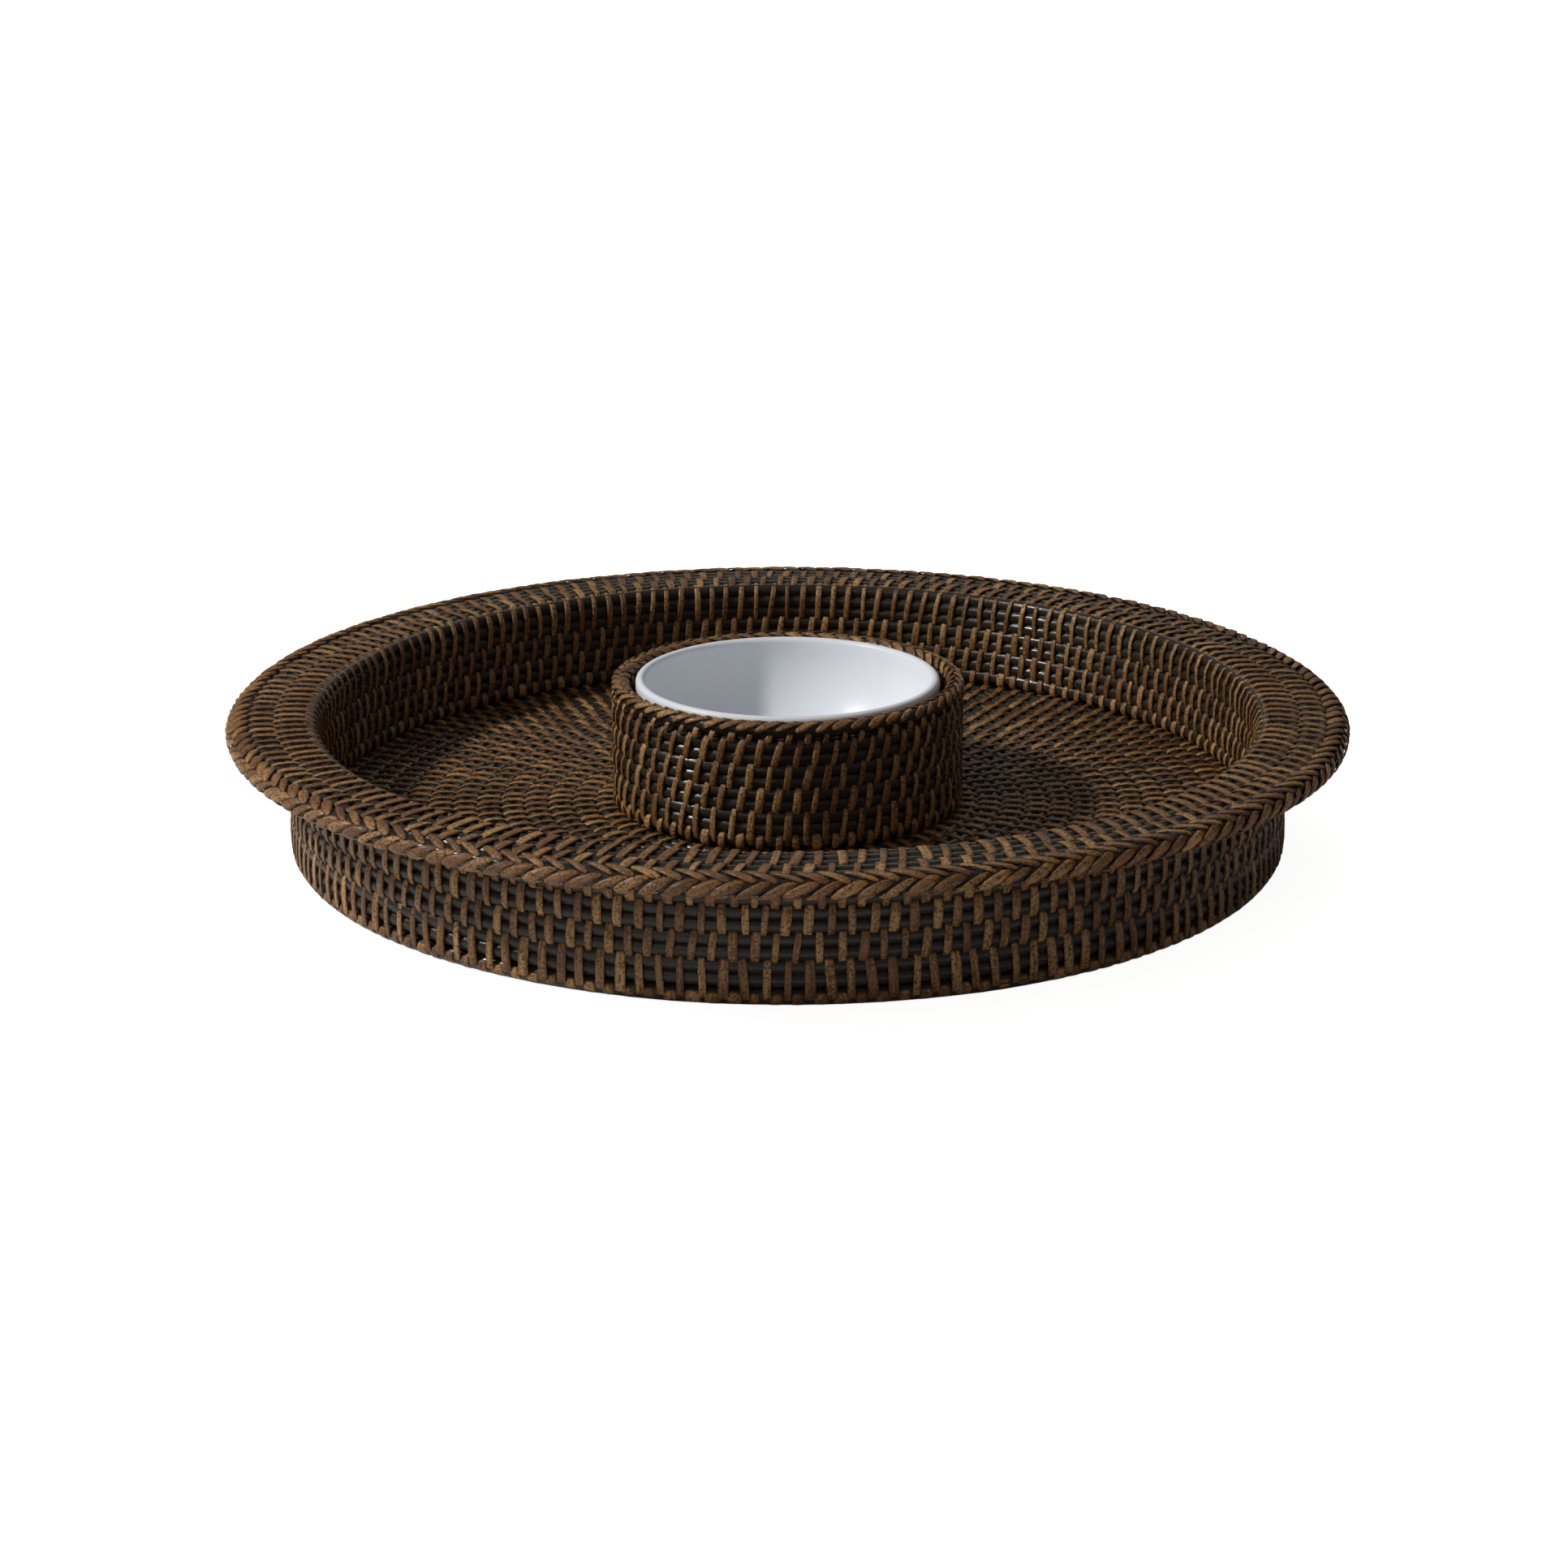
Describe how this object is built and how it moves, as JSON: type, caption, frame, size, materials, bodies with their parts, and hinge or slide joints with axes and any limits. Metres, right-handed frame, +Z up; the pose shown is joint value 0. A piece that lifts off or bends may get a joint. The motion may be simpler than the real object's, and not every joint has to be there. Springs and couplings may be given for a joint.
{
  "type": "chip and dip server",
  "caption": "Round woven cane tray with an upright wall and flat rim; a woven collar in the middle holds a lift-out porcelain dip bowl.",
  "frame": {"origin": "centre of the circle the tray stands on, on the table", "axes": "+Z up, along the axis of the tray, collar and bowl; the tray is round, so +X and +Y are any two directions across it"},
  "size_m": [0.4059, 0.406, 0.0584],
  "materials": {
    "lashed_cane": "dark lacquered cane lashed with brown peel, semi-gloss",
    "braided_peel": "flat brown peel braided over dark cane, semi-gloss, paler where worn",
    "glazed_porcelain": "glossy white glaze"
  },
  "bodies": {
    "tray": {"foot_course": "lashed_cane", "floor_centre": "lashed_cane", "floor_course_01": "lashed_cane", "floor_course_02": "lashed_cane", "floor_course_03": "lashed_cane", "floor_course_04": "lashed_cane", "floor_course_05": "lashed_cane", "floor_course_06": "lashed_cane", "floor_course_07": "lashed_cane", "floor_course_08": "lashed_cane", "floor_course_09": "lashed_cane", "floor_course_10": "lashed_cane", "floor_course_11": "lashed_cane", "floor_course_12": "lashed_cane", "floor_course_13": "lashed_cane", "floor_course_14": "lashed_cane", "floor_course_15": "lashed_cane", "floor_course_16": "lashed_cane", "floor_course_17": "lashed_cane", "floor_course_18": "lashed_cane", "floor_course_19": "lashed_cane", "skirt_course_1": "lashed_cane", "skirt_course_2": "lashed_cane", "skirt_course_3": "lashed_cane", "skirt_course_4": "lashed_cane", "corner_course": "lashed_cane", "well_course_1": "lashed_cane", "well_course_2": "lashed_cane", "shoulder_course": "lashed_cane", "rim_course_1": "lashed_cane", "rim_course_2": "lashed_cane", "edge_braid": "braided_peel", "collar_base": "lashed_cane", "collar_course_1": "lashed_cane", "collar_course_2": "lashed_cane", "collar_course_3": "lashed_cane", "collar_course_4": "lashed_cane", "collar_braid": "braided_peel"},
    "dip_bowl": {"dip_bowl": "glazed_porcelain"}
  },
  "joints": [
    {"name": "bowl_lift", "type": "slide", "parent": "tray", "child": "dip_bowl", "axis": [0, 0, 1], "range_m": [0, 0.07]}
  ]
}
